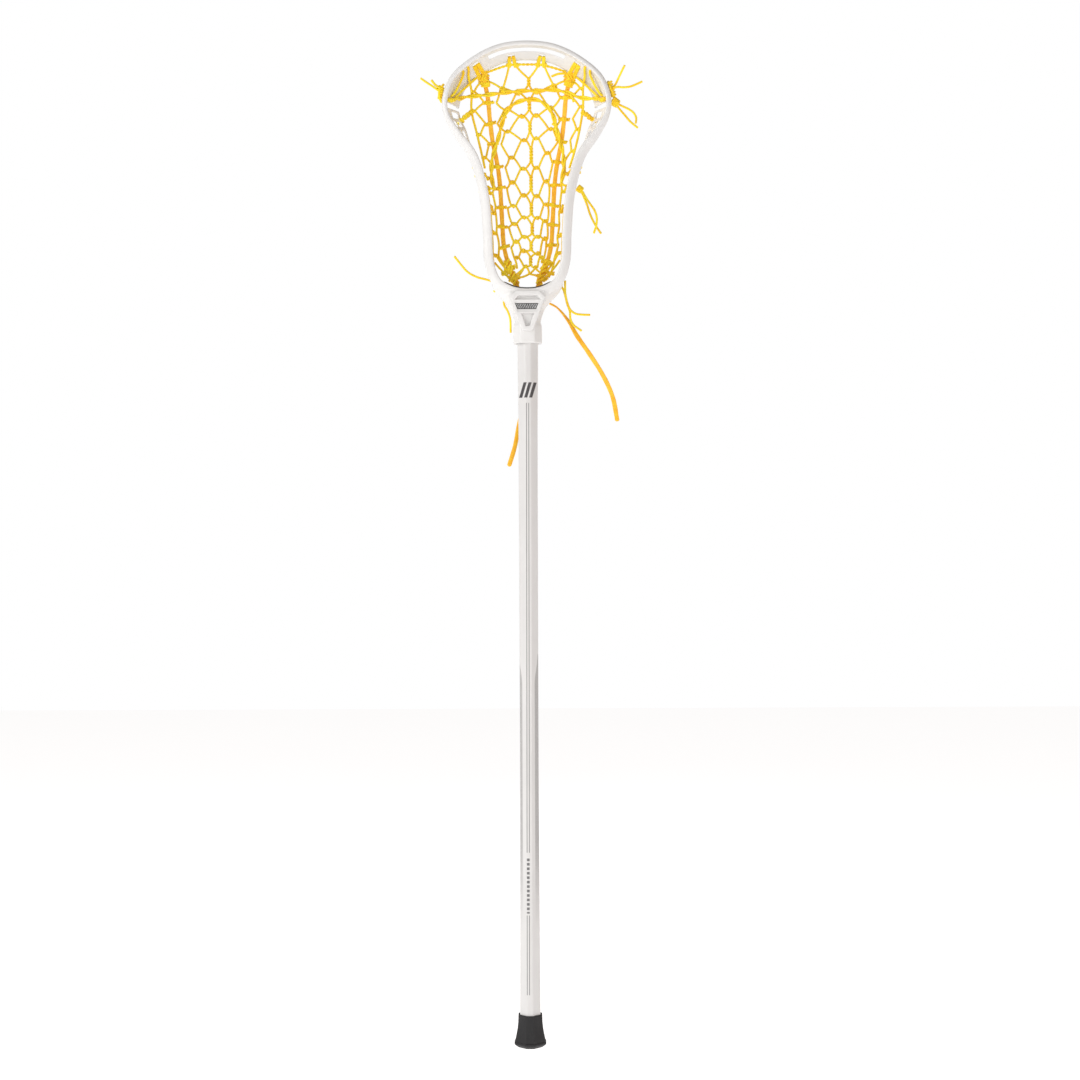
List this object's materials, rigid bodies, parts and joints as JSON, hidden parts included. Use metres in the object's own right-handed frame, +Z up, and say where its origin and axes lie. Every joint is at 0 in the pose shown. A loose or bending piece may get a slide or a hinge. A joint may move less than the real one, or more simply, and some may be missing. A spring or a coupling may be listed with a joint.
{
  "type": "lacrosse stick",
  "caption": "Lacrosse stick with a flared moulded head, a laced string and leather pocket, an octagonal shaft and a rubber end cap.",
  "frame": {"origin": "centre of the end cap's flat bottom face, at the butt end of the shaft", "axes": "+Z runs up the shaft to the tip of the scoop, -Y is the open side of the head where the ball goes in, and the pocket bags out towards +Y"},
  "size_m": [0.2398, 0.066, 1.0915],
  "materials": {
    "head_plastic": "satin white moulded nylon",
    "shaft_lacquer": "pearl white lacquer over an alloy tube",
    "cap_rubber": "matt black moulded rubber",
    "yellow_nylon": "braided golden yellow nylon cord",
    "amber_leather": "waxed amber leather thong",
    "foam_pad": "dark closed cell foam",
    "screw_steel": "plated steel"
  },
  "bodies": {
    "stick": {"head": "head_plastic", "ball_stop": "foam_pad", "shaft": "shaft_lacquer", "pocket_net_centre": "yellow_nylon", "pocket_net_left": "yellow_nylon", "leather_runner_left": "amber_leather", "side_lacing_left": "yellow_nylon", "selvage_string_left": "yellow_nylon", "corner_tie_left": "yellow_nylon", "leather_knot_left": "amber_leather", "pocket_net_right": "yellow_nylon", "leather_runner_right": "amber_leather", "side_lacing_right": "yellow_nylon", "selvage_string_right": "yellow_nylon", "corner_tie_right": "yellow_nylon", "leather_knot_right": "amber_leather", "top_string": "yellow_nylon", "shooting_string_upper": "yellow_nylon", "shooting_string_arch": "yellow_nylon", "rim_knot_left": "yellow_nylon", "rim_wrap_right": "yellow_nylon", "rim_knot_right": "yellow_nylon", "rail_knot_right": "yellow_nylon", "tail_upper_left": "yellow_nylon", "tail_upper_right_rising": "yellow_nylon", "tail_upper_right_level": "yellow_nylon", "tail_upper_right_outer": "yellow_nylon", "tail_upper_right_inner": "yellow_nylon", "tail_right_rail_outer": "yellow_nylon", "tail_right_rail_inner": "yellow_nylon", "tail_lower_left_rising": "yellow_nylon", "tail_lower_left_hanging": "yellow_nylon", "tail_lower_right_level": "yellow_nylon", "tail_lower_right_falling": "yellow_nylon", "leather_tail_right": "amber_leather", "leather_tail_left": "amber_leather"},
    "cap": {"end_cap": "cap_rubber"},
    "screw": {"head_screw": "screw_steel"}
  },
  "joints": [
    {"name": "end_cap_pull", "type": "slide", "parent": "stick", "child": "cap", "axis": [0, 0, -1], "range_m": [0, 0.045]},
    {"name": "head_screw_pull", "type": "slide", "parent": "stick", "child": "screw", "axis": [1, 0, 0], "range_m": [0, 0.02]}
  ]
}
